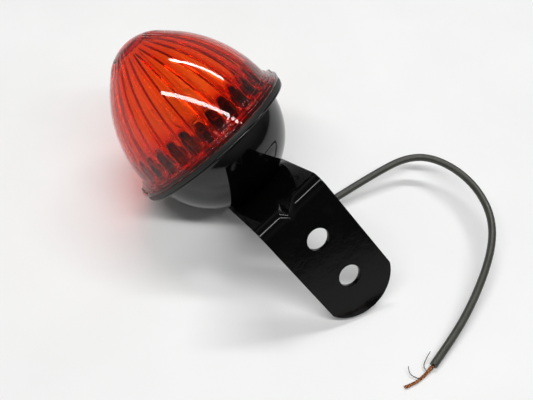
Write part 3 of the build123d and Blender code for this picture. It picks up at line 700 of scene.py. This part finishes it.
bracket = {
    "width": 34.6, "thickness": 2.0, "back": 16.0, "backRadius": 18.8, "bendReach": 57.0,
    "lean": 15.5, "bendRadius": 3.0, "tabLength": 67.6, "endRadius": 18.8, "top": -34.0,
    "dartPlate": 14.6, "dartPlateSide": -1.3, "dartTab": 5.0, "dartTabSide": -2.2,
    "dartLeft": -6.6, "dartRight": 5.6, "dartSoft": 0.3,
    "holes": (20.6, 46.0), "holeRadius": 5.15, "studHole": 4.1, "edgeRound": 0.28,
    "dartDeepest": 8, "dartReach": 17, "endFlat": 0.5, "cutterHalf": 6, "cutterSides": 64,
    "rows": 230, "columns": 72, "bendRows": 14, "bendMargin": 0.4,
}


def makeBracket(values):
    # strap surface: along the plate, round the bend on a true arc and down the tab; the width
    # closes on a circle at each end: half width = sqrt(R^2 - (distance past its centre)^2)
    lean = math.radians(values["lean"])
    half = values["width"] / 2
    arc = math.pi / 2 + lean
    reach = values["bendRadius"] * math.tan(arc / 2)
    plateLength = values["back"] + values["bendReach"] - reach
    tabStart = plateLength + values["bendRadius"] * arc
    total = tabStart + values["tabLength"] - reach
    even = np.linspace(0, 1, values["rows"])
    s = total * (0.5 - 0.5 * np.cos(even * math.pi)) * 0.35 + total * even * 0.65
    margin = values["bendMargin"]
    bendRows = np.linspace(plateLength - margin, tabStart + margin, values["bendRows"])
    s = np.unique(np.concatenate([s, bendRows]).round(4))
    angle = np.clip((s - plateLength) / values["bendRadius"], 0, arc)
    plate = np.minimum(s, plateLength)
    tab = np.maximum(s - tabStart, 0)
    x = -values["back"] + plate + values["bendRadius"] * np.sin(angle) - tab * math.sin(lean)
    z = values["top"] - values["bendRadius"] * (1 - np.cos(angle)) - tab * math.cos(lean)
    backOff = np.clip(values["backRadius"] - s, 0, values["backRadius"])
    endOff = np.clip(s - (total - values["endRadius"]), 0, values["endRadius"])
    least = values["endFlat"] ** 2
    backHalf = np.sqrt(np.maximum(values["backRadius"] ** 2 - backOff ** 2, least))
    endHalf = np.sqrt(np.maximum(values["endRadius"] ** 2 - endOff ** 2, least))
    halfWidth = np.minimum(np.minimum(backHalf, endHalf), half)
    v = np.linspace(-1, 1, values["columns"])
    w = halfWidth[:, None] * v
    points = np.stack([x[:, None] + 0 * w, w, z[:, None] + 0 * w], -1)
    # pressed dart: each point moves along the corner's bisector to the nearer of two flat facets
    corner = np.array([values["bendReach"], 0, values["top"]])
    run = np.array([-math.sin(lean), 0, -math.cos(lean)])
    tipPlate = corner + [-values["dartPlate"], values["dartPlateSide"], 0]
    tipTab = corner + run * values["dartTab"] + [0, values["dartTabSide"], 0]
    press = np.array([-math.cos(lean), 0, math.sin(lean) - 1])
    press /= np.linalg.norm(press)
    depths = []
    for side in (values["dartLeft"], values["dartRight"]):
        foot = corner + [0, side, 0]
        normal = np.cross(tipTab - tipPlate, foot - tipPlate)
        depths.append(((tipPlate - points) @ normal) / (press @ normal))
    soft = values["dartSoft"]
    deep = np.minimum(depths[0], depths[1])
    deep = np.where(deep > values["dartDeepest"], 0, deep)
    deep = (deep + np.sqrt(deep ** 2 + soft ** 2)) / 2
    near = np.linalg.norm(points - corner, axis=-1) < values["dartReach"]
    points = points + np.where(near, deep, 0)[..., None] * press
    count = values["columns"]
    faces = gridFaces(len(s), count, closeColumns=False)
    return points.reshape(-1, 3), faces.tolist()


def cutHole(piece, centre, axis, radius, values):
    # a round cutter through the strap; the caller removes it once the cut is baked
    count = values["cutterSides"]
    angles = np.arange(count) / count * turn
    axis = Vector(axis).normalized()
    side = axis.orthogonal().normalized()
    other = side.cross(axis)
    ring = np.cos(angles)[:, None] * np.array(side) + np.sin(angles)[:, None] * np.array(other)
    low = np.array(centre) - np.array(axis) * values["cutterHalf"] + ring * radius
    high = np.array(centre) + np.array(axis) * values["cutterHalf"] + ring * radius
    cutter = meshPiece("cutter", np.vstack([low, high]), tubeFaces(2, count), bracketPaint)
    boolean = piece.modifiers.new("hole", "BOOLEAN")
    boolean.object = cutter
    boolean.operation = "DIFFERENCE"
    boolean.solver = "EXACT"
    return cutter


def bakeModifiers(piece):
    # the modified mesh becomes the piece's own
    graph = bpy.context.evaluated_depsgraph_get()
    baked = bpy.data.meshes.new_from_object(piece.evaluated_get(graph))
    piece.modifiers.clear()
    piece.data = baked


points, faces = makeBracket(bracket)
bracketPiece = meshPiece("bracketStrap", points, faces, bracketPaint)
thick = bracketPiece.modifiers.new("thickness", "SOLIDIFY")
thick.thickness = bracket["thickness"] * mm
thick.offset = -1
lean = math.radians(bracket["lean"])
cutters = [cutHole(bracketPiece, (0, 0, bracket["top"] - 1), (0, 0, 1), bracket["studHole"],
                   bracket)]
for distance in bracket["holes"]:
    centre = (bracket["bendReach"] - distance * math.sin(lean) - math.cos(lean),
              0, bracket["top"] - distance * math.cos(lean) + math.sin(lean))
    cutters.append(cutHole(bracketPiece, centre, (math.cos(lean), 0, -math.sin(lean)),
                           bracket["holeRadius"], bracket))
bakeModifiers(bracketPiece)
for cutter in cutters:
    bpy.data.objects.remove(cutter)
rounding = bracketPiece.modifiers.new("edges", "BEVEL")
rounding.width = bracket["edgeRound"] * mm
rounding.segments = 2
rounding.limit_method = "ANGLE"
rounding.angle_limit = math.radians(50)
print("bracket ready", len(bracketPiece.data.polygons))


bulb = {"neckRadius": 7.1, "ballRadius": 9.5, "wall": 0.6, "ballHeight": 16.0, "bottom": 3.0,
        "poleRadius": 0.02, "neckGap": 1.5, "rows": 25, "columns": 72}


def makeBulbGlass(values):
    # a neck that opens into a ball, with a thin wall
    ball, neck, height = values["ballRadius"], values["neckRadius"], values["ballHeight"]
    wall, pole, bottom = values["wall"], values["poleRadius"], values["bottom"]
    neckTop = height - math.sqrt(ball ** 2 - neck ** 2) - values["neckGap"]
    a = np.linspace(math.pi - math.asin(neck / ball), 0, values["rows"] + 1)[:-1]
    outside = np.stack([ball * np.sin(a), height + ball * np.cos(a)], -1)
    share = (ball - wall) / ball
    inside = np.stack([outside[::-1, 0] * share, height + (outside[::-1, 1] - height) * share], -1)
    line = np.vstack([[[neck, bottom], [neck, neckTop]], outside, [[pole, height + ball]],
                      [[pole, height + ball - wall]], inside,
                      [[neck - wall, neckTop], [neck - wall, bottom]]])
    return turnedPiece("bulbEnvelope", line, values["columns"], bulbGlass)


bulbPiece = makeBulbGlass(bulb)


spring = {"radius": 3.25, "wire": 0.35, "bottom": -22.4, "top": -14.6, "turns": 5, "closed": 0.8,
          "travel": 2.0, "steps": 300, "sides": 10}


def makeSpring(values):
    # coil path: angle = 2 pi turns t, height held at both ends so that the end coils lie flat
    t = np.linspace(0, 1, values["steps"])
    shut = values["closed"] / values["turns"]
    climb = np.clip((t - shut) / (1 - 2 * shut), 0, 1)
    low, high = values["bottom"] + values["wire"], values["top"] - values["wire"]
    angle = t * values["turns"] * turn
    line = np.stack([values["radius"] * np.cos(angle), values["radius"] * np.sin(angle),
                     low + (high - low) * climb], -1)
    points = tubePoints(line, np.full(len(t), values["wire"]), values["sides"])
    return meshPiece("contactSpring", points, tubeFaces(len(t), values["sides"]), springSteel)


springPiece = makeSpring(spring)

for piece, node, body, slotName in (
        (lensPiece, "lens", "lens", "red_lens"),
        (gasketPiece, "lens_gasket", "lamp_body", "black_rubber"),
        (bowlPiece, "bowl", "lamp_body", "gloss_black_steel"),
        (bracketPiece, "bracket", "lamp_body", "black_strap_paint"),
        (bulbPiece, "bulb_glass", "bulb", "bulb_glass"),
        (springPiece, "contact_spring", "lamp_body", "spring_steel")):
    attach(piece, body)
    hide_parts(node)
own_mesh(springPiece)

# the holder, fasteners and bulb metal keep their own solids and take their real finishes
finishes = {
    "twist_ring": bowlEnamel, "flat_washer": zincPlate, "lock_washer": zincPlate,
    "stud_nut": zincPlate, "hollow_stud": zincPlate, "stud_bush": blackRubber,
    "socket_cup": zincPlate,
    "socket_shell": zincPlate, "socket_rivets": zincPlate, "socket_insulator": fibreBoard,
    "contact_seat": drawnBrass, "contact_disc": fibreBoard,
    "contact_button": drawnBrass, "bulb_cap": drawnBrass, "bulb_contact": tinSolder,
    "filament_posts": springSteel, "filament_bead": bulbGlass, "bulb_filament": springSteel,
    "inner_lead": pvcGrey,
}
for node, material in finishes.items():
    for materialSlot in frame["nodes"][node].material_slots:
        materialSlot.material = material
print("bulb and finishes ready")


studio = {"floor": 3.0, "height": 1.25, "tubeWidth": 0.11,
          "farTube": {"across": (-0.13, 0.555), "length": 0.95, "turn": 30.0, "power": 10.6},
          "nearTube": {"across": (0.21, -0.24), "length": 1.62, "turn": 27.5, "power": 13.8},
          "sky": 0.5}


def makeStage(values):
    size = values["floor"]
    corners = np.array([(-size, -size, 0), (size, -size, 0), (size, size, 0), (-size, size, 0)])
    floor = rawPiece("table", corners, [(0, 1, 2, 3)], paleTable(), smooth=False)
    for name in ("farTube", "nearTube"):
        tube = values[name]
        data = bpy.data.lights.new(name, "AREA")
        data.shape = "RECTANGLE"
        data.size = tube["length"] * values["height"]
        data.size_y = values["tubeWidth"]
        data.energy = tube["power"]
        lamp = bpy.data.objects.new(name, data)
        bpy.context.scene.collection.objects.link(lamp)
        place = Vector((*tube["across"], 1.0)) * values["height"] + lampCenter
        level = Matrix.Rotation(math.radians(tube["turn"]), 4, "Z")
        lamp.matrix_world = Matrix.Translation(place) @ level
    world = bpy.data.worlds.new("room")
    bpy.context.scene.world = world
    world.use_nodes = True
    tree = world.node_tree
    tree.nodes.clear()
    way = addNode(tree, "ShaderNodeTexCoord").outputs["Generated"]
    split = addNode(tree, "ShaderNodeSeparateXYZ", {}, Vector=way)
    height = ramp(tree, split.outputs["Z"], [(0.0, 0.65), (0.35, 0.8), (0.6, 0.45), (0.8, 0.14)])
    side = ramp(tree, split.outputs["X"], [(0.25, 1.0), (0.75, 0.2)])
    lift = ramp(tree, split.outputs["Z"], [(0.1, 0.0), (0.7, 1.0)])
    shade = addNode(tree, "ShaderNodeMix", {"data_type": "RGBA", 7: (1, 1, 1, 1)}, i0=lift, i6=side)
    shade = addNode(tree, "ShaderNodeMix", {"data_type": "RGBA", "blend_type": "MULTIPLY", 0: 1.0},
                    i6=height, i7=shade.outputs[2])
    ground = addNode(tree, "ShaderNodeBackground", {"Strength": values["sky"]},
                     Color=shade.outputs[2])
    output = addNode(tree, "ShaderNodeOutputWorld")
    tree.links.new(ground.outputs[0], output.inputs["Surface"])


makeStage(studio)
bpy.context.scene.view_settings.view_transform = "Standard"
print("table and light ready")
